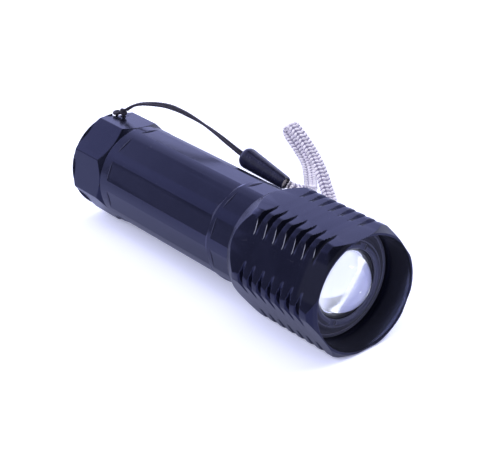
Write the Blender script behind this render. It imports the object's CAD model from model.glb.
"""A zooming torch with a twisted cord and a knitted wrist strap.

The barrel axis is the x axis: tail cap at x = 0, lens at about x = 100 mm, +z up. The cord runs
from the tail cap along the upper +y side to a sleeve, and the strap loops out towards +y.
Scene lengths are metres. Numbers in the materials and the lanyard are millimetres.
"""

import math
import random
from functools import cached_property

import bpy
import bmesh
import numpy as np
from mathutils import Matrix, Vector

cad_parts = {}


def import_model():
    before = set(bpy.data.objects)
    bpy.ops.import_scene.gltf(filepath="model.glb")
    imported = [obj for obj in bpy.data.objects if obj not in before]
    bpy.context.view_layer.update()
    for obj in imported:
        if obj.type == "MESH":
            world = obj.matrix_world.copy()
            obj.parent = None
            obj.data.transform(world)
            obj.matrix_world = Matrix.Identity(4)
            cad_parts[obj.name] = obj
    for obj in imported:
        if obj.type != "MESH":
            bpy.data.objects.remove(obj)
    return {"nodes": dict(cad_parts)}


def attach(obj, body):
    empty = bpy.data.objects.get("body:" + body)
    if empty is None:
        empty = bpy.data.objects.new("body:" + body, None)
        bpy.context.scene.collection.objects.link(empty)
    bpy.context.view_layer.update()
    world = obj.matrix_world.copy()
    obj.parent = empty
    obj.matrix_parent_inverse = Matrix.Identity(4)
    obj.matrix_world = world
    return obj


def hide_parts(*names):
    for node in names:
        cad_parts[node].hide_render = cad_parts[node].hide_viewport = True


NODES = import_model()["nodes"]
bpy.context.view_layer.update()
scene = bpy.context.scene
MM = 0.001


# ---------------------------------------------------------------- node helpers
class NodeBuilder:
    """Adds nodes to an emptied node tree. Any value may be a number, a colour or a socket."""

    def __init__(self, tree):
        self.tree = tree
        tree.nodes.clear()

    def node(self, kind, **props):
        made = self.tree.nodes.new(kind)
        for key, value in props.items():
            setattr(made, key, value)
        return made

    def link(self, source, target):
        self.tree.links.new(source, target)

    def put(self, value, socket):
        if isinstance(value, bpy.types.NodeSocket):
            self.link(value, socket)
        elif isinstance(value, tuple) and len(value) == 3 and socket.type == "RGBA":
            socket.default_value = (*value, 1.0)
        else:
            socket.default_value = value

    def math(self, operation, first, second=None, clamp=False):
        made = self.node("ShaderNodeMath", operation=operation, use_clamp=clamp)
        self.put(first, made.inputs[0])
        if second is not None:
            self.put(second, made.inputs[1])
        return made.outputs[0]

    def mul(self, total, *factors):
        for factor in factors:
            total = self.math("MULTIPLY", total, factor)
        return total

    def add(self, total, *terms):
        for term in terms:
            total = self.math("ADD", total, term)
        return total

    def dot(self, first, second):
        made = self.node("ShaderNodeVectorMath", operation="DOT_PRODUCT")
        self.put(first, made.inputs[0])
        self.put(second, made.inputs[1])
        return made.outputs["Value"]

    def span(self, value, over, to=(0.0, 1.0), smooth=True):
        """Map the range `over` to the range `to`."""
        kind = "SMOOTHSTEP" if smooth else "LINEAR"
        made = self.node("ShaderNodeMapRange", interpolation_type=kind)
        self.put(value, made.inputs["Value"])
        for key, limit in zip(("From Min", "From Max", "To Min", "To Max"), (*over, *to)):
            self.put(limit, made.inputs[key])
        return made.outputs[0]


class Shader(NodeBuilder):
    """One procedural material. Lengths inside it are in millimetres."""

    def __init__(self, name):
        self.material = bpy.data.materials.new(name)
        self.material.use_nodes = True
        super().__init__(self.material.node_tree)
        self.out = self.node("ShaderNodeOutputMaterial")
        coord = self.node("ShaderNodeTexCoord")
        scale = self.node("ShaderNodeVectorMath", operation="SCALE")
        self.link(coord.outputs["Object"], scale.inputs[0])
        scale.inputs["Scale"].default_value = 1000.0
        self.point = scale.outputs[0]

    def split(self, vector):
        made = self.node("ShaderNodeSeparateXYZ")
        self.link(vector, made.inputs[0])
        return made.outputs

    @cached_property
    def xyz(self):
        return self.split(self.point)

    @cached_property
    def radius(self):
        """Distance from the barrel axis."""
        _, y, z = self.xyz
        return self.math("SQRT", self.add(self.mul(y, y), self.mul(z, z)))

    @cached_property
    def angle(self):
        """Angle round the barrel axis: 0 at +z, positive towards +y."""
        _, y, z = self.xyz
        return self.math("ARCTAN2", y, z)

    @cached_property
    def along(self):
        """Grows along the barrel and also outwards over its end faces."""
        return self.add(self.xyz[0], self.radius)

    def vec(self, *parts):
        made = self.node("ShaderNodeCombineXYZ")
        for value, socket in zip(parts, made.inputs):
            self.put(value, socket)
        return made.outputs[0]

    def lathe_coords(self, along, around):
        """Coordinates that stretch a noise into lines round the barrel."""
        return self.vec(self.mul(self.along, along), self.mul(self.angle, around), 0.0)

    def noise(self, scale, detail=3.0, rough=0.55, vector=None):
        made = self.node("ShaderNodeTexNoise")
        self.link(self.point if vector is None else vector, made.inputs["Vector"])
        made.inputs["Scale"].default_value = scale
        made.inputs["Detail"].default_value = detail
        made.inputs["Roughness"].default_value = rough
        return made.outputs["Fac"]

    def voronoi(self, scale, feature="F1", vector=None):
        made = self.node("ShaderNodeTexVoronoi", feature=feature)
        self.link(self.point if vector is None else vector, made.inputs["Vector"])
        made.inputs["Scale"].default_value = scale
        return made.outputs["Distance"]

    def dots(self, scale, size, vector=None):
        """Round spots; `size` is where they start and end to fade."""
        return self.span(self.voronoi(scale, vector=vector), over=size, to=(1.0, 0.0))

    def patchy_dots(self, scale, size, patch_scale, patch, vector=None):
        """Spots kept only where a coarse noise rises through the range `patch`."""
        kept = self.span(self.noise(patch_scale, detail=2.0), over=patch)
        return self.mul(self.dots(scale, size, vector), kept)

    def mix(self, fac, first, second):
        made = self.node("ShaderNodeMix", data_type="RGBA")
        for value, index in ((fac, 0), (first, 6), (second, 7)):
            self.put(value, made.inputs[index])
        return made.outputs[2]

    def mottle(self, noise, low, high):
        """Blend two colours by a noise."""
        return self.mix(self.span(noise, over=(0.3, 0.7)), low, high)

    def vary(self, noise, low, high):
        """Spread a noise over a range of values, such as a roughness."""
        return self.span(noise, over=(0.2, 0.8), to=(low, high))

    def bump(self, height, depth, strength, normal=None):
        made = self.node("ShaderNodeBump")
        made.inputs["Strength"].default_value = strength
        made.inputs["Distance"].default_value = depth * MM
        self.put(height, made.inputs["Height"])
        if normal is not None:
            self.link(normal, made.inputs["Normal"])
        return made.outputs[0]

    def round_normal(self, radius):
        made = self.node("ShaderNodeBevel")
        made.samples = 4
        made.inputs["Radius"].default_value = radius * MM
        return made.outputs[0]

    def edge(self, radius):
        """1 near an outer or inner edge, 0 on open faces."""
        soft = self.round_normal(radius)
        geometry = self.node("ShaderNodeNewGeometry")
        return self.span(self.dot(soft, geometry.outputs["Normal"]), over=(0.995, 0.90))

    def normal_x(self, output="True Normal"):
        return self.split(self.node("ShaderNodeNewGeometry").outputs[output])[0]

    def principled(self, color, rough, metallic=0.0, normal=None, ior=1.5, **extra):
        self.surface = self.node("ShaderNodeBsdfPrincipled")
        inputs = self.surface.inputs
        self.put(color, inputs["Base Color"])
        self.put(rough, inputs["Roughness"])
        self.put(metallic, inputs["Metallic"])
        inputs["IOR"].default_value = ior
        self.link(normal, inputs["Normal"])
        for key, value in extra.items():
            self.put(value, inputs[key.replace("_", " ")])
        self.link(self.surface.outputs[0], self.out.inputs[0])

    def glow(self, color, strength):
        self.put(color, self.surface.inputs["Emission Color"])
        self.put(strength, self.surface.inputs["Emission Strength"])


def scaled(color, factor, lift=0.0):
    return tuple(min(1.0, channel * factor + lift) for channel in color)


# ---------------------------------------------------------------- materials
def tube_finish(mat, base):
    """Soft bands along the tube, and brighter end walls on its shallow flats."""
    band_coords = mat.vec(mat.mul(mat.angle, 3.4), mat.mul(mat.xyz[0], 0.010), 3.0)
    band = mat.noise(scale=1.0, detail=2.0, rough=0.5, vector=band_coords)
    base = mat.mix(mat.span(band, over=(0.46, 0.60)), base, (0.0125, 0.0132, 0.0250))
    facing = mat.normal_x()
    front_wall = mat.mul(mat.span(facing, over=(0.35, 0.6)), mat.span(mat.radius, over=(12.2, 12.6)))
    rear_wall = mat.mul(mat.span(facing, over=(-0.25, -0.5)),
                        mat.span(mat.radius, over=(12.0, 12.4)))
    base = mat.mix(mat.mul(front_wall, 0.8), base, (0.020, 0.021, 0.038))
    strength = mat.mul(mat.math("MAXIMUM", rear_wall, front_wall), 0.10)
    return base, (0.45, 0.47, 0.9), strength


def head_finish(mat, base):
    """Bright groove edges on the upper -y flat, a dusty grey cavity and a paler front bore."""
    x = mat.xyz[0]
    off_middle = mat.math("ABSOLUTE", mat.add(mat.angle, 0.79))
    turn = mat.span(off_middle, over=(0.13, 0.20), to=(1.0, 0.0))
    # distance from the axis along the direction 60 degrees from +z towards -y
    depth = mat.mul(mat.radius, mat.math("COSINE", mat.add(mat.angle, math.pi / 3)))
    groove_line = mat.mul(
        mat.mul(mat.span(mat.normal_x(), over=(0.3, 0.5)), turn),
        mat.mul(mat.span(x, over=(76.0, 76.5)), mat.span(x, over=(101.0, 100.5)),
                mat.span(depth, over=(14.56, 14.62))))
    base = mat.mix(mat.mul(groove_line, 0.9), base, (0.55, 0.56, 0.68))
    cavity = mat.mul(mat.span(mat.radius, over=(14.40, 14.30)),
                     mat.mul(mat.span(x, over=(73.0, 75.0)), mat.span(x, over=(93.0, 92.6))))
    base = mat.mix(cavity, base, (0.17, 0.175, 0.30))
    bore = mat.mul(mat.span(mat.radius, over=(15.6, 15.4)), mat.span(x, over=(97.0, 98.0)))
    base = mat.mix(bore, base, (0.0105, 0.0108, 0.0150))
    cavity_glow = mat.mul(cavity, mat.span(x, over=(84.0, 90.0), to=(0.55, 0.20)))
    return base, (0.42, 0.44, 0.72), mat.add(cavity_glow, mat.mul(bore, 0.006))


def anodised(name, tint=(0.0048, 0.0052, 0.0095), rough=0.20, lines=0.5, wear=0.6, bevel=0.11,
             turned=False, finish=None):
    """Satin black anodised aluminium: fine tool lines, matt grain, worn edges, light scratches.

    turned adds regular grooves round the axis and a faint glow; finish adds a part's own marks.
    """
    mat = Shader(name)
    cloud = mat.noise(scale=0.16, detail=4.0, rough=0.6)
    streak = mat.noise(scale=1.0, rough=0.6, vector=mat.lathe_coords(along=5.5, around=1.1))
    grain = mat.noise(scale=9.0, rough=0.6)
    # scratches: thin cell borders of a stretched voronoi, allowed only in a few places
    stretch = mat.node("ShaderNodeMapping")
    mat.link(mat.point, stretch.inputs["Vector"])
    stretch.inputs["Rotation"].default_value = (0.5, 0.35, 0.9)
    stretch.inputs["Scale"].default_value = (0.12, 1.6, 1.6)
    border = mat.voronoi(scale=0.9, feature="DISTANCE_TO_EDGE", vector=stretch.outputs[0])
    scratch = mat.mul(mat.span(border, over=(0.0, 0.012), to=(1.0, 0.0)),
                      mat.span(mat.noise(scale=0.35, detail=2.0), over=(0.60, 0.68)))
    speck = mat.patchy_dots(scale=1.1, size=(0.035, 0.070), patch_scale=0.22, patch=(0.53, 0.58))
    edge = mat.edge(radius=0.20)
    ragged = mat.span(mat.noise(scale=1.7, detail=4.0, rough=0.7), over=(0.34, 0.66))
    worn = mat.math("MULTIPLY", mat.mul(edge, ragged), wear, clamp=True)

    base = mat.mottle(cloud, scaled(tint, 0.85), scaled(tint, 1.15))
    base = mat.mix(mat.mul(streak, 0.15), base, scaled(tint, 2.0))
    base = mat.mix(mat.mul(scratch, 0.25), base, (0.20, 0.20, 0.25))
    base = mat.mix(mat.mul(speck, 0.4), base, (0.28, 0.28, 0.34))
    base = mat.mix(worn, base, (0.20, 0.20, 0.29))
    if finish:
        base, glow_color, glow_strength = finish(mat, base)

    gloss = mat.span(cloud, over=(0.25, 0.75), to=(rough - 0.02, rough + 0.025))
    gloss = mat.add(gloss, mat.mul(mat.math("SUBTRACT", grain, 0.5), 0.06))
    gloss = mat.math("SUBTRACT", gloss, mat.mul(worn, 0.05))
    normal = mat.bump(streak, depth=0.004 * lines, strength=0.8, normal=mat.round_normal(bevel))
    if turned:
        groove_pitch = 0.30
        wave = mat.math("SINE", mat.mul(mat.along, 2 * math.pi / groove_pitch))
        normal = mat.bump(wave, depth=0.010, strength=0.9, normal=normal)
    normal = mat.bump(grain, depth=0.0016, strength=0.7, normal=normal)
    mat.principled(base, gloss, normal=normal, ior=1.65, Specular_Tint=(0.50, 0.53, 1.0))
    if finish:
        mat.glow(glow_color, glow_strength)
    if turned:
        lines_glow = mat.span(streak, over=(0.3, 0.7), to=(0.020, 0.045))
        mat.glow((0.60, 0.62, 1.0), mat.add(lines_glow, mat.mul(mat.edge(radius=0.16), 0.16)))
    return mat.material


def rubber(name, tint=(0.012, 0.012, 0.014), rough=0.62, grain=0.02, dusty=0.25):
    mat = Shader(name)
    cloud = mat.noise(scale=3.2, detail=4.0, rough=0.65)
    fine = mat.noise(scale=14.0, detail=2.0, rough=0.5)
    dust = mat.span(mat.noise(scale=0.9, detail=4.0, rough=0.7), over=(0.52, 0.72))
    base = mat.mottle(cloud, scaled(tint, 0.75), scaled(tint, 1.4))
    base = mat.mix(mat.mul(dust, dusty), base, (0.09, 0.09, 0.10))
    normal = mat.bump(fine, depth=grain, strength=0.7, normal=mat.round_normal(0.08))
    mat.principled(base, mat.vary(cloud, rough - 0.06, rough + 0.08), normal=normal)
    return mat.material


def plastic(name, tint, rough=0.4, grain=0.010, contrast=0.12, ior=1.5, bevel=0.12):
    mat = Shader(name)
    cloud = mat.noise(scale=0.7, detail=4.0, rough=0.6)
    fine = mat.noise(scale=11.0)
    base = mat.mottle(cloud, scaled(tint, 1 - contrast), scaled(tint, 1 + contrast))
    base = mat.mix(mat.mul(mat.edge(radius=0.18), 0.18), base, scaled(tint, 1.6, lift=0.03))
    normal = mat.bump(fine, depth=grain, strength=0.8, normal=mat.round_normal(bevel))
    mat.principled(base, mat.vary(cloud, rough - 0.05, rough + 0.06), normal=normal, ior=ior)
    return mat.material


def metal(name, tint, rough, lines=0.010, wire=False, bevel=0.08):
    """Bare metal with lines round the barrel axis, or an even grain when it is wire."""
    mat = Shader(name)
    if wire:
        streak = mat.noise(scale=8.0, rough=0.6)
    else:
        streak = mat.noise(scale=1.0, rough=0.6, vector=mat.lathe_coords(along=7.0, around=1.2))
    cloud = mat.noise(scale=0.5, detail=4.0, rough=0.6)
    stain = mat.span(mat.noise(scale=1.3, detail=5.0, rough=0.7), over=(0.55, 0.75))
    base = mat.mottle(cloud, scaled(tint, 0.86), tint)
    base = mat.mix(mat.mul(stain, 0.20), base, scaled(tint, 0.55))
    normal = mat.bump(streak, depth=lines, strength=0.8, normal=mat.round_normal(bevel))
    mat.principled(base, mat.vary(streak, rough - 0.07, rough + 0.10), metallic=1.0, normal=normal)
    return mat.material


def circuit(name):
    """Green solder mask with pale pads and tracks."""
    mat = Shader(name)
    x, y, z = mat.xyz
    brick = mat.node("ShaderNodeTexBrick")
    for key, value in {
        "Vector": mat.vec(y, z, x),
        "Scale": 0.42,
        "Mortar Size": 0.045,
        "Mortar Smooth": 0.15,
        "Color1": (0.012, 0.10, 0.035),
        "Color2": (0.016, 0.13, 0.05),
        "Mortar": (0.06, 0.26, 0.10),
    }.items():
        mat.put(value, brick.inputs[key])
    pads = mat.patchy_dots(scale=0.55, size=(0.20, 0.24), patch_scale=0.4, patch=(0.48, 0.52),
                           vector=mat.vec(y, z, 0.0))
    base = mat.mix(pads, brick.outputs["Color"], (0.72, 0.66, 0.52))
    fibre = mat.noise(scale=6.0)
    base = mat.mix(mat.mul(fibre, 0.15), base, (0.10, 0.16, 0.08))
    normal = mat.bump(brick.outputs["Fac"], depth=0.03, strength=0.6,
                      normal=mat.round_normal(0.05))
    mat.principled(base, mat.vary(fibre, 0.28, 0.42), metallic=mat.mul(pads, 0.9), normal=normal)
    return mat.material


def white_board(name):
    """White solder mask with tinned pads, brightest near the axis."""
    mat = Shader(name)
    _, y, z = mat.xyz
    cloud = mat.noise(scale=0.8, detail=4.0, rough=0.6)
    pads = mat.dots(scale=0.32, size=(0.16, 0.19), vector=mat.vec(y, z, 0.0))
    base = mat.mottle(cloud, (0.78, 0.79, 0.82), (0.88, 0.89, 0.91))
    base = mat.mix(pads, base, (0.60, 0.59, 0.56))
    normal = mat.bump(cloud, depth=0.02, strength=0.6, normal=mat.round_normal(0.05))
    mat.principled(base, mat.vary(cloud, 0.30, 0.42), metallic=mat.mul(pads, 0.9), normal=normal)
    mat.glow((0.93, 0.95, 1.0), mat.span(mat.radius, over=(9.0, 3.0), to=(0.9, 2.4)))
    return mat.material


def led(name):
    """Yellow phosphor disc on a white base."""
    mat = Shader(name)
    cloud = mat.noise(scale=2.5, detail=4.0, rough=0.6)
    disc = mat.span(mat.radius, over=(1.55, 1.72), to=(1.0, 0.0))
    phosphor = mat.mottle(cloud, (0.90, 0.74, 0.16), (0.95, 0.84, 0.30))
    base = mat.mix(disc, (0.82, 0.83, 0.84), phosphor)
    normal = mat.bump(cloud, depth=0.01, strength=0.5, normal=mat.round_normal(0.06))
    mat.principled(base, mat.vary(cloud, 0.14, 0.22), normal=normal)
    mat.glow((1.0, 0.96, 0.86), mat.span(mat.radius, over=(2.4, 1.2), to=(0.6, 4.0)))
    return mat.material


def seat(name):
    """White moulded seat behind the lens, glowing more towards its rear."""
    mat = Shader(name)
    cloud = mat.noise(scale=0.7, detail=4.0, rough=0.6)
    base = mat.mottle(cloud, (0.72, 0.73, 0.78), (0.80, 0.81, 0.86))
    normal = mat.bump(mat.noise(scale=9.0), depth=0.01, strength=0.6, normal=mat.round_normal(0.1))
    mat.principled(base, mat.vary(cloud, 0.35, 0.45), normal=normal)
    mat.glow((0.90, 0.93, 1.0), mat.span(mat.xyz[0], over=(92.5, 94.1), to=(0.30, 0.06)))
    return mat.material


def cell_jacket(name):
    """Printed film jacket: dark body, a plain pale band and bare metal ends."""
    mat = Shader(name)
    x = mat.xyz[0]
    cloud = mat.noise(scale=0.6, detail=4.0, rough=0.6)
    band = mat.mul(mat.span(x, over=(33.0, 33.3)), mat.span(x, over=(47.0, 47.3), to=(1.0, 0.0)))
    base = mat.mottle(cloud, (0.012, 0.016, 0.05), (0.018, 0.026, 0.08))
    base = mat.mix(band, base, (0.52, 0.50, 0.46))
    end = mat.span(mat.math("ABSOLUTE", mat.normal_x("Normal")), over=(0.7, 0.9))
    base = mat.mix(end, base, (0.66, 0.65, 0.62))
    normal = mat.bump(mat.noise(scale=5.0), depth=0.01, strength=0.6, normal=mat.round_normal(0.2))
    mat.principled(base, mat.vary(cloud, 0.24, 0.34), metallic=end, normal=normal, Coat_Weight=0.3)
    return mat.material


def glass(name):
    mat = Shader(name)
    _, y, z = mat.xyz
    swirl = mat.noise(scale=0.25, rough=0.5)
    dust = mat.patchy_dots(scale=2.2, size=(0.03, 0.06), patch_scale=0.5, patch=(0.56, 0.62))
    rough = mat.add(mat.span(swirl, over=(0.3, 0.7), to=(0.085, 0.105)), mat.mul(dust, 0.35))
    base = mat.mix(dust, (0.93, 0.95, 1.0), (0.75, 0.76, 0.80))
    mat.principled(base, rough, normal=mat.bump(swirl, depth=0.010, strength=0.5), ior=1.49,
                   Transmission_Weight=1.0)
    # the rim scatters light into the glass, and a soft window lies over the upper -y side
    rim = mat.span(mat.radius, over=(6.0, 9.9), to=(0.0, 0.36))
    upward = mat.math("SUBTRACT", mat.mul(z, 0.726), mat.mul(y, 0.687))
    window = mat.span(upward, over=(0.0, 4.2), to=(0.0, 0.42))
    mat.glow((0.80, 0.84, 1.0), mat.add(rim, window))
    return mat.material


def yarn(name, dark, light, fibre, tone=None, rough=0.78, glow=0.0):
    """Fine bright and dark filaments with a soft sheen. `tone` names a shading attribute."""
    mat = Shader(name)
    fine = mat.noise(scale=fibre, rough=0.65)
    soft = mat.noise(scale=1.1, rough=0.6)
    blend = mat.add(mat.mul(fine, 0.6), mat.mul(soft, 0.4))
    if tone:
        attribute = mat.node("ShaderNodeAttribute", attribute_name=tone)
        blend = mat.math("MULTIPLY", mat.span(blend, over=(0.25, 0.75), to=(0.62, 1.0)),
                         attribute.outputs["Fac"], clamp=True)
    else:
        blend = mat.span(blend, over=(0.3, 0.7))
    base = mat.mix(blend, dark, light)
    mat.principled(base, mat.vary(soft, rough - 0.08, rough + 0.08),
                   normal=mat.bump(fine, depth=0.03, strength=0.8),
                   Sheen_Weight=0.2, Sheen_Roughness=0.5)
    if glow:
        # light that passes through the pale knit
        mat.glow((0.86, 0.80, 1.0), mat.mul(mat.math("POWER", blend, 2.0), glow))
    return mat.material


MATERIALS = {
    "body": anodised("anodised_body", rough=0.19, finish=tube_finish),
    "tail": anodised("anodised_tail", tint=(0.0048, 0.0053, 0.0110), lines=0.7),
    "head": anodised("anodised_head", tint=(0.0048, 0.0050, 0.0090), finish=head_finish),
    "ring": anodised("anodised_ring", tint=(0.0300, 0.0310, 0.0520), rough=0.42, lines=1.4,
                     wear=0.45, bevel=0.06, turned=True),
    "seat": seat("moulded_grey"),
    "seal": rubber("nitrile_seal"),
    "gasket": rubber("lens_gasket_rubber", tint=(0.010, 0.010, 0.017), rough=0.36, grain=0.006,
                     dusty=0.0),
    "boot": rubber("silicone_boot", tint=(0.016, 0.016, 0.018), rough=0.58, grain=0.03),
    "white": plastic("nylon_white", tint=(0.70, 0.70, 0.67), rough=0.42),
    "black": plastic("moulded_black", tint=(0.018, 0.018, 0.021), rough=0.45),
    "sleeve": plastic("moulded_sleeve", tint=(0.024, 0.0245, 0.062), rough=0.24, grain=0.006,
                      contrast=0.2, ior=1.6, bevel=0.2),
    "spring": metal("plated_spring", tint=(0.66, 0.63, 0.57), rough=0.24, lines=0.006, wire=True,
                    bevel=0.02),
    "screw": metal("plated_screw", tint=(0.60, 0.60, 0.61), rough=0.26),
    "plate": metal("nickel_plate", tint=(0.70, 0.68, 0.62), rough=0.25),
    "alu": metal("turned_aluminium", tint=(0.74, 0.75, 0.78), rough=0.30, lines=0.014),
    "board": circuit("green_board"),
    "led_board": white_board("white_board"),
    "led": led("led_emitter_face"),
    "red": plastic("wire_red_skin", tint=(0.50, 0.018, 0.014), rough=0.32),
    "black_wire": plastic("wire_black_skin", tint=(0.014, 0.014, 0.015), rough=0.32),
    "cell": cell_jacket("cell_film"),
    "glass": glass("clear_lens"),
    "cord": yarn("cord_fibre", dark=(0.007, 0.006, 0.012), light=(0.055, 0.047, 0.090), fibre=9.0),
    "strap": yarn("strap_fibre", dark=(0.24, 0.215, 0.34), light=(0.98, 0.95, 1.0), fibre=10.0,
                  tone="tone", glow=0.42),
}

PIECE_MATERIALS = {
    "tail_cap": "tail", "tail_cap_oring": "seal", "switch_boot": "boot", "switch_plunger": "white",
    "switch_housing": "black", "switch_spring": "spring", "switch_spacer": "black",
    "switch_board": "board", "switch_retaining_ring": "alu", "tail_spring": "spring",
    "battery_tube": "body", "neck": "body", "led_pill": "alu", "zoom_oring": "seal",
    "driver_board": "board", "driver_spring": "spring", "led_board": "led_board",
    "led_emitter": "led", "led_board_screws": "screw", "lead_wire_red": "red",
    "lead_wire_black": "black_wire", "battery_carrier": "black", "aaa_cells": "cell",
    "carrier_springs": "spring", "carrier_contacts": "plate", "zoom_head": "head",
    "lens_seat_ring": "seat", "lens": "glass", "lens_gasket": "gasket",
    "lens_retaining_ring": "ring", "lanyard_eye_loop": "cord", "lanyard_cord": "cord",
    "cord_connector": "sleeve", "strap_crimp": "plate", "wrist_strap": "strap",
}
for piece_name, material_key in PIECE_MATERIALS.items():
    piece = NODES[piece_name]
    if not piece.material_slots:
        piece.data.materials.append(MATERIALS[material_key])
    for slot in piece.material_slots:
        slot.material = MATERIALS[material_key]


# ---------------------------------------------------------------- path and mesh helpers
def unit(vector):
    vector = np.asarray(vector, float)
    return vector / np.linalg.norm(vector)


def smoothstep(part):
    return part * part * (3 - 2 * part)


class Spline:
    """Natural cubic spline through points, with chord-length parameter."""

    FINE_SAMPLES = 4000

    def __init__(self, points):
        self.points = np.asarray(points, float)
        count = len(self.points)
        gaps = np.linalg.norm(np.diff(self.points, axis=0), axis=1)
        self.knots = np.concatenate([[0.0], np.cumsum(gaps)])
        system = np.zeros((count, count))
        target = np.zeros((count, self.points.shape[1]))
        system[0, 0] = system[-1, -1] = 1.0
        for i in range(1, count - 1):
            before, after = gaps[i - 1], gaps[i]
            system[i, i - 1:i + 2] = before, 2 * (before + after), after
            target[i] = 6 * ((self.points[i + 1] - self.points[i]) / after
                             - (self.points[i] - self.points[i - 1]) / before)
        self.bends = np.linalg.solve(system, target)  # second derivatives at the points
        self.gaps = gaps

    def segment(self, where):
        found = np.searchsorted(self.knots, where, side="right") - 1
        return np.clip(found, 0, len(self.gaps) - 1)

    def at(self, where):
        i = self.segment(where)
        gap = self.gaps[i][:, None]
        past = (where - self.knots[i])[:, None]
        left = gap - past
        bend, next_bend = self.bends[i], self.bends[i + 1]
        return ((bend * left ** 3 + next_bend * past ** 3) / (6 * gap)
                + (self.points[i] / gap - bend * gap / 6) * left
                + (self.points[i + 1] / gap - next_bend * gap / 6) * past)

    def even(self, step):
        """Evenly spaced points, their parameters and the whole length."""
        params = np.linspace(self.knots[0], self.knots[-1], self.FINE_SAMPLES)
        fine = self.at(params)
        chords = np.linalg.norm(np.diff(fine, axis=0), axis=1)
        run = np.concatenate([[0.0], np.cumsum(chords)])
        count = max(4, int(round(run[-1] / step)))
        wanted = np.linspace(0, run[-1], count + 1)
        points = np.stack([np.interp(wanted, run, fine[:, k]) for k in range(3)], axis=1)
        return points, np.interp(wanted, run, params), run[-1]


def tangents(points):
    along = np.gradient(points, axis=0)
    return along / np.linalg.norm(along, axis=1)[:, None]


def transport(points):
    """Frames that turn as little as possible along the path."""
    along = tangents(points)
    start = np.array([0.0, 0.0, 1.0] if abs(along[0][2]) < 0.9 else [1.0, 0.0, 0.0])
    normal = unit(start - along[0] * (start @ along[0]))
    normals = [normal]
    for tangent in along[1:]:
        normal = unit(normal - tangent * (normal @ tangent))
        normals.append(normal)
    normals = np.array(normals)
    return along, normals, np.cross(along, normals)


def sweep(points, radius, around=12, frames=None, closed=False):
    """Tube along the path; radius(i, angle) is in mm. An open tube gets low pointed caps."""
    along, normal, binormal = transport(points) if frames is None else frames
    verts, faces = [], []
    count = len(points)
    for i in range(count):
        for j in range(around):
            angle = 2 * math.pi * j / around
            outward = normal[i] * math.cos(angle) + binormal[i] * math.sin(angle)
            verts.append(points[i] + outward * radius(i, angle))
    for i in range(count if closed else count - 1):
        k = (i + 1) % count
        for j in range(around):
            m = (j + 1) % around
            faces.append((i * around + j, i * around + m, k * around + m, k * around + j))
    if not closed:
        start, end, last = len(verts), len(verts) + 1, (count - 1) * around
        verts.append(points[0] - along[0] * (0.3 * radius(0, 0)))
        verts.append(points[-1] + along[-1] * (0.3 * radius(count - 1, 0)))
        for j in range(around):
            m = (j + 1) % around
            faces.append((start, m, j))
            faces.append((end, last + j, last + m))
    return verts, faces


def merge(pieces):
    verts, faces = [], []
    for piece_verts, piece_faces in pieces:
        base = len(verts)
        verts += piece_verts
        faces += [tuple(base + k for k in face) for face in piece_faces]
    return verts, faces


def mesh_object(name, verts, faces, material, tone=None):
    mesh = bpy.data.meshes.new(name)
    mesh.from_pydata([tuple(vert * MM) for vert in verts], [], faces)
    mesh.validate()
    mesh.update()
    made = bpy.data.objects.new(name, mesh)
    scene.collection.objects.link(made)
    mesh.materials.append(material)
    mesh.polygons.foreach_set("use_smooth", [True] * len(mesh.polygons))
    if tone is not None:
        attribute = mesh.attributes.new("tone", "FLOAT", "POINT")
        attribute.data.foreach_set("value", np.asarray(tone, np.float32))
    return made


# ---------------------------------------------------------------- lanyard places
# the cord hole lies in a plane through the axis, tipped 10 degrees from +z towards +y
EYE_TIP = math.radians(10)
UP = np.array([0.0, math.sin(EYE_TIP), math.cos(EYE_TIP)])
LATERAL = np.array([0.0, UP[2], -UP[1]])
SIDE = 0.8  # offset of the knot and hole along LATERAL


def tail_point(x, height, side=SIDE):
    return np.array([x, 0, 0]) + UP * height + LATERAL * side


KNOT = tail_point(3.0, 14.55)
SLEEVE_START = np.array([44.6, 12.45, 11.3])
SLEEVE_END = np.array([59.29, 13.87, 7.95])
SLEEVE_DIR = unit(SLEEVE_END - SLEEVE_START)

# x, y, z along the cord from the knot to the sleeve
CORD_POINTS = np.array((
    (5.2, 5.3, 15.9), (9.4, 8.1, 16.8), (15.0, 9.7, 17.35), (21.0, 10.2, 17.4),
    (28.0, 10.5, 16.75), (35.0, 10.9, 15.2), (40.5, 11.6, 13.1),
))
CORD_DIR = unit(CORD_POINTS[0] - KNOT)  # the way the cord leaves the knot


# ---------------------------------------------------------------- cord
def build_cord():
    """Two strands laid round each other, each with five plies."""
    step, lay_length, ply_pitch = 0.16, 64.0, 0.95
    strand_radius, strand_offset = 0.36, 0.345
    path = Spline([KNOT + CORD_DIR * 0.95, *CORD_POINTS,
                   SLEEVE_START + SLEEVE_DIR * 0.2, SLEEVE_START + SLEEVE_DIR * 3.0])
    centre, _, length = path.even(step)
    _, normal, binormal = transport(centre)

    def run_at(i):
        return length * i / (len(centre) - 1)

    def ply(i, angle):
        twist = 2 * math.pi * run_at(i) / ply_pitch
        return strand_radius * (1 + 0.07 * math.cos(5 * angle - twist))

    strands = []
    for strand in range(2):
        points = []
        for i, middle in enumerate(centre):
            run = run_at(i)
            angle = 2 * math.pi * run / lay_length + math.pi * strand + 1.0
            offset = strand_offset + 0.015 * math.sin(run * 0.9)
            outward = normal[i] * math.cos(angle) + binormal[i] * math.sin(angle)
            points.append(middle + outward * offset)
        strands.append(sweep(np.array(points), ply, around=15))
    return mesh_object("lanyard_cord_strands", *merge(strands), MATERIALS["cord"])


cord = build_cord()
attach(cord, "lanyard")
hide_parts("lanyard_cord")


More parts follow.
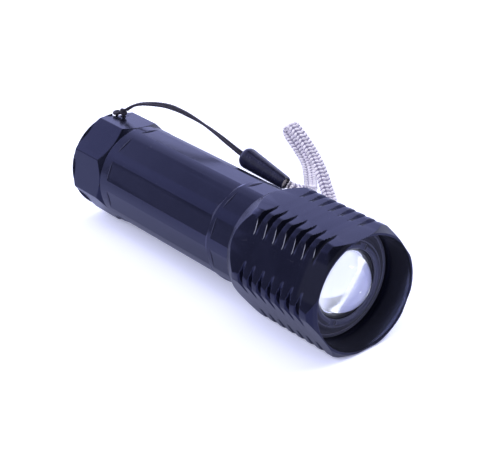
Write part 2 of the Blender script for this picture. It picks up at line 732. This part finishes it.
# ---------------------------------------------------------------- knot and eye loop
def trefoil_knot():
    size, rope_radius, steps = 0.68, 0.52, 150
    centre = KNOT - UP * 0.12
    axis = unit(CORD_DIR)
    across = unit(np.cross(axis, [0.31, 0.2, 0.9]))
    third = np.cross(axis, across)
    points = []
    for i in range(steps):
        turn = 2 * math.pi * i / steps
        x = (math.sin(turn) + 2 * math.sin(2 * turn)) / 3.0
        y = (math.cos(turn) - 2 * math.cos(2 * turn)) / 3.0
        z = -math.sin(3 * turn) / 3.0 * 1.25
        points.append(centre + (across * x + third * y) * size + axis * z * size)
    points = np.array(points)
    along = np.roll(points, -1, axis=0) - np.roll(points, 1, axis=0)
    along /= np.linalg.norm(along, axis=1)[:, None]
    normal = np.cross(along, axis)
    normal /= np.linalg.norm(normal, axis=1)[:, None]

    def ply(i, angle):
        return rope_radius * (1 + 0.07 * math.cos(4 * angle - 2 * math.pi * i * 12 / steps))

    return sweep(points, ply, frames=(along, normal, np.cross(along, normal)), closed=True)


def eye_rope(i, angle):
    return 0.40 * (1 + 0.07 * math.cos(4 * angle - i * 0.8))


def hole_strand():
    """Down the slanting hole, up the notch and back over the rim."""
    # x, height, side
    stations = (
        (3.0, 14.5, SIDE), (3.05, 13.3, SIDE), (2.0, 11.35, SIDE), (0.95, 9.45, SIDE),
        (0.60, 9.05, SIDE), (0.52, 9.8, SIDE), (0.56, 11.8, 0.6), (0.60, 13.2, 0.2),
        (0.95, 13.75, -0.1),
    )
    path = Spline([tail_point(*station) for station in stations])
    return sweep(path.even(0.13)[0], eye_rope)


def flat_eye():
    """The flat eye pulled tight beside the knot."""
    centre = tail_point(1.25, 13.72, -0.15)
    long_way = unit(np.array([1.0, 0, 0]) - LATERAL * 0.25)
    short_way = unit(LATERAL + np.array([0.25, 0, 0]) + UP * 0.25)
    points = [tail_point(2.7, 14.1, 0.45)]
    for k in range(13):
        turn = math.radians(55 + 300 * k / 12)
        points.append(centre + long_way * (0.95 * math.cos(turn))
                      + short_way * (0.80 * math.sin(turn)) + UP * (0.12 + 0.10 * k / 12))
    points.append(tail_point(2.6, 14.3, 0.95))
    return sweep(Spline(points).even(0.12)[0], eye_rope)


eye = mesh_object("lanyard_knot", *merge((trefoil_knot(), hole_strand(), flat_eye())),
                  MATERIALS["cord"])
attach(eye, "tail")
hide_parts("lanyard_eye_loop")

# ---------------------------------------------------------------- wrist strap
# flattened tube with raised stitches over a darker core
# centre x, y, z and the direction of the strap's width at each station
STRAP = [
    ((60.09, 14.52, 7.55), (0.00, 0.60, 0.80)),
    ((60.15, 16.02, 6.22), (0.20, 0.55, 0.81)),
    ((59.08, 19.31, 3.86), (0.45, 0.60, 0.65)),
    ((55.24, 24.55, 0.53), (0.55, 0.75, 0.35)),
    ((48.15, 31.10, -3.44), (0.55, 0.80, 0.22)),
    ((39.05, 38.36, -4.99), (0.47, 0.86, 0.20)),
    ((31.18, 43.67, -5.27), (0.45, 0.86, 0.22)),
    ((24.13, 46.90, -4.84), (0.44, 0.86, 0.25)),
    ((18.51, 49.08, -4.14), (0.42, 0.86, 0.28)),
    ((15.27, 50.72, -3.37), (0.42, 0.85, 0.32)),
    ((16.41, 50.55, -1.88), (0.42, 0.84, 0.33)),
    ((20.84, 49.22, -1.11), (0.42, 0.85, 0.33)),
    ((26.40, 47.43, -2.15), (0.42, 0.86, 0.28)),
    ((34.12, 44.23, -3.34), (0.43, 0.87, 0.24)),
    ((42.09, 40.12, -4.43), (0.46, 0.87, 0.20)),
    ((49.11, 35.99, -5.81), (0.52, 0.84, 0.14)),
    ((55.33, 31.77, -6.08), (0.62, 0.77, 0.14)),
    ((59.43, 26.71, -4.31), (0.55, 0.70, 0.45)),
    ((61.32, 20.89, 0.17), (0.30, 0.60, 0.74)),
    ((61.07, 17.39, 3.88), (0.10, 0.58, 0.81)),
    ((60.84, 15.17, 6.85), (-0.00, 0.60, 0.80)),
]
STRAP_STEP = 0.2
HALF_WIDTH, HALF_THICK = 1.58, 0.30
SQUARENESS = 0.60       # exponent of the section's superellipse: 1 is an ellipse, 0 a rectangle
CORE_AROUND = 28
COURSE = 1.75           # stitch pitch along the strap
WALES = 3               # stitch columns round the strap
WALE_PHASE = 0.55       # shift of the columns round the strap
LEG_STEPS, LEG_AROUND = 8, 7
LEG_RADIUS = 0.385


def strap_frames():
    spline = Spline([station[0] for station in STRAP])
    width_keys = np.array([unit(station[1]) for station in STRAP])
    points, params, length = spline.even(STRAP_STEP)
    along = tangents(points)
    wide = []
    for where, tangent in zip(params, along):
        k = int(spline.segment(where))
        part = smoothstep((where - spline.knots[k]) / (spline.knots[k + 1] - spline.knots[k]))
        width = width_keys[k] * (1 - part) + width_keys[k + 1] * part
        wide.append(unit(width - tangent * (width @ tangent)))
    wide = np.array(wide)
    return points, wide, np.cross(along, wide), length


def section(turn):
    """Section point and outward normal, turn in 0..1: (across, through, normal parts)."""
    angle = 2 * math.pi * turn
    cosine, sine = math.cos(angle), math.sin(angle)
    x = HALF_WIDTH * math.copysign(abs(cosine) ** SQUARENESS, cosine)
    y = HALF_THICK * math.copysign(abs(sine) ** SQUARENESS, sine)
    normal_x = math.copysign(abs(cosine) ** (2 - SQUARENESS), cosine) / HALF_WIDTH
    normal_y = math.copysign(abs(sine) ** (2 - SQUARENESS), sine) / HALF_THICK
    length = math.hypot(normal_x, normal_y)
    return x, y, normal_x / length, normal_y / length


# arc length round the section, to place things evenly on it
SECTION_TURNS = np.linspace(0, 1, 721)
SECTION_CHORDS = np.diff(np.array([section(turn)[:2] for turn in SECTION_TURNS]), axis=0)
SECTION_ARC = np.concatenate([[0.0], np.cumsum(np.linalg.norm(SECTION_CHORDS, axis=1))])
PERIMETER = SECTION_ARC[-1]
CENTRES, WIDE, HIGH, STRAP_LENGTH = strap_frames()
ROWS = len(CENTRES)


def section_at(arc):
    """Section at an arc length from the middle of the top face."""
    arc = (arc + PERIMETER * 0.25) % PERIMETER
    return section(float(np.interp(arc, SECTION_ARC, SECTION_TURNS)))


def gather(run):
    """Scale of width and thickness: the strap is narrower and thicker near both ends."""
    near = min(run, STRAP_LENGTH - run)
    part = smoothstep(min(1.0, max(0.0, near / 8.0)))
    return 0.56 + 0.44 * part, 1.5 - 0.5 * part


def strap_core():
    verts, faces = [], []
    for i in range(ROWS):
        across, through = gather(STRAP_LENGTH * i / (ROWS - 1))
        for j in range(CORE_AROUND):
            x, y, _, _ = section_at(PERIMETER * j / CORE_AROUND)
            verts.append(CENTRES[i] + WIDE[i] * x * across + HIGH[i] * y * through)
    for i in range(ROWS - 1):
        row, above = i * CORE_AROUND, (i + 1) * CORE_AROUND
        for j in range(CORE_AROUND):
            m = (j + 1) % CORE_AROUND
            faces.append((row + j, above + j, above + m, row + m))
    faces.append(tuple(range(CORE_AROUND)))
    faces.append(tuple((ROWS - 1) * CORE_AROUND + j for j in reversed(range(CORE_AROUND))))
    return verts, faces


def strap_point(run, arc, lift):
    """Point at a length along and round the strap, lifted off its surface."""
    row = run / STRAP_LENGTH * (ROWS - 1)
    k = int(min(max(row, 0), ROWS - 2))
    part = row - k
    centre, wide, high = (
        keys[k] * (1 - part) + keys[k + 1] * part for keys in (CENTRES, WIDE, HIGH))
    x, y, normal_x, normal_y = section_at(arc)
    across, through = gather(run)
    return (centre + wide * (x * across + normal_x * lift)
            + high * (y * through + normal_y * lift))


def leg_radius(i, angle):
    return LEG_RADIUS * max(0.22, math.sin(math.pi * (0.07 + 0.86 * i / LEG_STEPS)) ** 0.65)


def stitch_leg(start, middle, side):
    """Path of half a V stitch, leaning away from its column's middle line."""
    points = []
    for k in range(LEG_STEPS + 1):
        part = k / LEG_STEPS
        run = min(max(start + part * COURSE * 0.62, 0.02), STRAP_LENGTH - 0.02)
        offset = (0.05 + 0.44 * part) * (PERIMETER / WALES)
        lift = 0.02 + 0.22 * math.sin(math.pi * part) ** 0.8
        points.append(strap_point(run, middle + side * offset, lift))
    return np.array(points)


def build_strap():
    pieces = [strap_core()]
    tone = [0.05] * len(pieces[0][0])
    rng = random.Random(7)
    for course in range(int(STRAP_LENGTH / COURSE) + 1):
        for wale in range(WALES):
            for side in (-1, 1):
                start = course * COURSE - 0.25 + rng.uniform(-0.05, 0.05)
                shade = 1.0 - 0.16 * rng.random()
                path = stitch_leg(start, wale * (PERIMETER / WALES) + WALE_PHASE, side)
                # a leg cut short by the end of the strap is left out
                if np.linalg.norm(path[-1] - path[0]) < 0.6:
                    continue
                pieces.append(sweep(path, leg_radius, around=LEG_AROUND))
                for k in range(LEG_STEPS + 1):
                    light = min(1.0, 0.25 + math.sin(math.pi * k / LEG_STEPS))
                    tone += [shade * (0.62 + 0.38 * light)] * LEG_AROUND
                tone += [0.5, 0.5]  # the two cap tips
    return mesh_object("wrist_strap_knit", *merge(pieces), MATERIALS["strap"], tone=tone)


strap = build_strap()
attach(strap, "strap")
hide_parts("wrist_strap")


# ---------------------------------------------------------------- machined edges
def machine_edges(name, width):
    """A small real bevel, so that every edge catches the light."""
    modifiers = NODES[name].modifiers
    weld = modifiers.new("join", "WELD")
    weld.merge_threshold = 1e-6
    bevel = modifiers.new("edges", "BEVEL")
    bevel.width = width * MM
    bevel.segments = 2
    bevel.limit_method = "ANGLE"
    bevel.angle_limit = math.radians(28.0)
    bevel.use_clamp_overlap = False
    bevel.harden_normals = False
    shade = modifiers.new("shade", "WEIGHTED_NORMAL")
    shade.keep_sharp = False
    shade.weight = 80


for node_name, edge_width in (("tail_cap", 0.09), ("zoom_head", 0.09),
                              ("lens_retaining_ring", 0.04)):
    machine_edges(node_name, edge_width)

# ---------------------------------------------------------------- floor
# the torch rests on the tail cap and the head, so the floor is tilted to touch both
TAIL_REST_X, TAIL_REST_RADIUS = 0.8, 13.756
HEAD_REST_X, HEAD_REST_RADIUS = 72.0, 14.75
FLOOR_SLOPE = (HEAD_REST_RADIUS - TAIL_REST_RADIUS) / (HEAD_REST_X - TAIL_REST_X)
FLOOR_GAP = 0.00003     # metres
FLOOR_REACH = 1.6       # metres from the middle to each side
FLOOR_CELLS = 24


def build_floor():
    mesh = bpy.data.meshes.new("floor_sheet")
    grid = bmesh.new()
    line = FLOOR_CELLS + 1
    for i in range(line):
        for j in range(line):
            x = (i / FLOOR_CELLS - 0.5) * 2 * FLOOR_REACH
            y = (j / FLOOR_CELLS - 0.5) * 2 * FLOOR_REACH
            drop = FLOOR_SLOPE * (x - TAIL_REST_X * MM)
            grid.verts.new((x, y, -TAIL_REST_RADIUS * MM - drop - FLOOR_GAP))
    grid.verts.ensure_lookup_table()
    for i in range(FLOOR_CELLS):
        for j in range(FLOOR_CELLS):
            corner = i * line + j
            corners = (corner, corner + line, corner + line + 1, corner + 1)
            grid.faces.new([grid.verts[k] for k in corners])
    grid.to_mesh(mesh)
    grid.free()
    made = bpy.data.objects.new("floor_sheet", mesh)
    scene.collection.objects.link(made)
    mesh.materials.append(paper("pale_paper"))
    return made


def paper(name):
    """Pale paper with some brightness of its own, so its shadows stay pale and bluish."""
    mat = Shader(name)
    tooth = mat.noise(scale=1.2, detail=4.0, rough=0.6)
    ray = mat.node("ShaderNodeLightPath")
    white = mat.mix(tooth, (0.80, 0.80, 0.80), (0.84, 0.84, 0.84))
    base = mat.mix(ray.outputs["Is Glossy Ray"], white, (0.34, 0.36, 0.56))
    mat.principled(base, rough=0.9, normal=mat.bump(tooth, depth=0.01, strength=0.3))
    occlusion = mat.node("ShaderNodeAmbientOcclusion")
    occlusion.samples = 8
    occlusion.inputs["Distance"].default_value = 0.024
    contact = mat.span(occlusion.outputs["AO"], over=(0.0, 0.52), to=(0.22, 0.82))
    seen = mat.span(ray.outputs["Is Camera Ray"], over=(0.0, 1.0), to=(0.42, 1.0), smooth=False)
    mat.glow((0.65, 0.68, 1.0), mat.mul(contact, seen))
    return mat.material


floor = build_floor()


# ---------------------------------------------------------------- world
def build_world():
    """Pale backdrop low behind the torch, three soft cards, and white where the camera looks."""
    world = bpy.data.worlds.new("studio")
    scene.world = world
    world.use_nodes = True
    sky = NodeBuilder(world.node_tree)
    coord = sky.node("ShaderNodeTexCoord")

    def towards(x, y, z):
        return sky.dot(coord.outputs["Generated"], Vector((x, y, z)).normalized())

    def background(color, strength):
        made = sky.node("ShaderNodeBackground")
        sky.put(color, made.inputs["Color"])
        sky.put(strength, made.inputs["Strength"])
        return made.outputs[0]

    backdrop = sky.mul(sky.span(towards(0, 0, 1), over=(0.72, 0.44)),
                       sky.span(towards(-0.62, 0.78, 0.0), over=(-0.15, 0.50)))
    left_card = sky.span(towards(-0.71, -0.26, 0.65), over=(0.80, 0.97))
    nearest_side = sky.math("MAXIMUM", towards(0.1, 0.80, 0.60), towards(0.1, -0.80, 0.60))
    side_cards = sky.span(nearest_side, over=(0.72, 0.94))
    # the room darkens towards +x
    room = sky.span(towards(1.0, -0.3, 0.2), over=(-0.5, 0.5), to=(0.22, 0.05))
    strength = sky.add(sky.mul(backdrop, 1.35), sky.mul(left_card, 0.28), room,
                       sky.mul(side_cards, 0.22))
    tint = sky.node("ShaderNodeMixRGB")
    for value, socket in zip((side_cards, (0.55, 0.58, 1.0), (0.85, 0.88, 0.98)), tint.inputs):
        sky.put(value, socket)
    ray = sky.node("ShaderNodeLightPath")
    choice = sky.node("ShaderNodeMixShader")
    shown = (ray.outputs["Is Camera Ray"], background(tint.outputs[0], strength),
             background((1.0, 1.0, 1.0), 1.05))
    for value, socket in zip(shown, choice.inputs):
        sky.link(value, socket)
    sky.link(choice.outputs[0], sky.node("ShaderNodeOutputWorld").inputs[0])


build_world()


# ---------------------------------------------------------------- lights
def area(name, place, target, size, power, color, glossy=True):
    """Rectangular light; glossy says whether reflections show it."""
    light = bpy.data.lights.new(name, "AREA")
    light.shape = "RECTANGLE"
    light.size, light.size_y = size
    light.energy = power
    light.color = color
    made = bpy.data.objects.new(name, light)
    made.location = place
    made.rotation_mode = "QUATERNION"
    made.rotation_quaternion = (Vector(target) - Vector(place)).to_track_quat("-Z", "Y")
    scene.collection.objects.link(made)
    made.visible_glossy = glossy


area("top_box", place=(0.05, 0.10, 0.90), target=(0.05, 0.02, 0.0), size=(0.9, 0.9), power=3.6,
     color=(1.0, 1.0, 1.0), glossy=False)
area("front_box", place=(0.20, -0.75, 0.42), target=(0.05, 0.0, 0.0), size=(0.8, 0.6), power=2.6,
     color=(0.97, 0.98, 1.0), glossy=False)
area("left_box", place=(-0.65, -0.40, 0.40), target=(0.05, 0.0, 0.0), size=(0.6, 0.5), power=2.0,
     color=(0.97, 0.98, 1.0), glossy=False)
area("edge_box", place=(0.33, 0.33, 0.50), target=(0.06, 0.0, 0.0), size=(0.22, 0.22), power=1.2,
     color=(0.85, 0.87, 1.0))

# ---------------------------------------------------------------- camera
CAMERA_PLACE = (0.32871, -0.19773, 0.17912)
CAMERA_AXES = (
    (0.6218, 0.7803, -0.0670),   # right
    (-0.3315, 0.3397, 0.8802),   # up
    (0.7096, -0.5251, 0.4699),   # back, away from the view
)
camera_data = bpy.data.cameras.new("camera")
camera_data.lens = 108.87
camera_data.sensor_width = 36.0
camera_data.clip_start, camera_data.clip_end = 0.01, 10.0
camera = bpy.data.objects.new("camera", camera_data)
pose = Matrix(CAMERA_AXES).transposed().to_4x4()
pose.translation = CAMERA_PLACE
camera.matrix_world = pose
scene.collection.objects.link(camera)
scene.camera = camera
scene.view_settings.view_transform = "Standard"
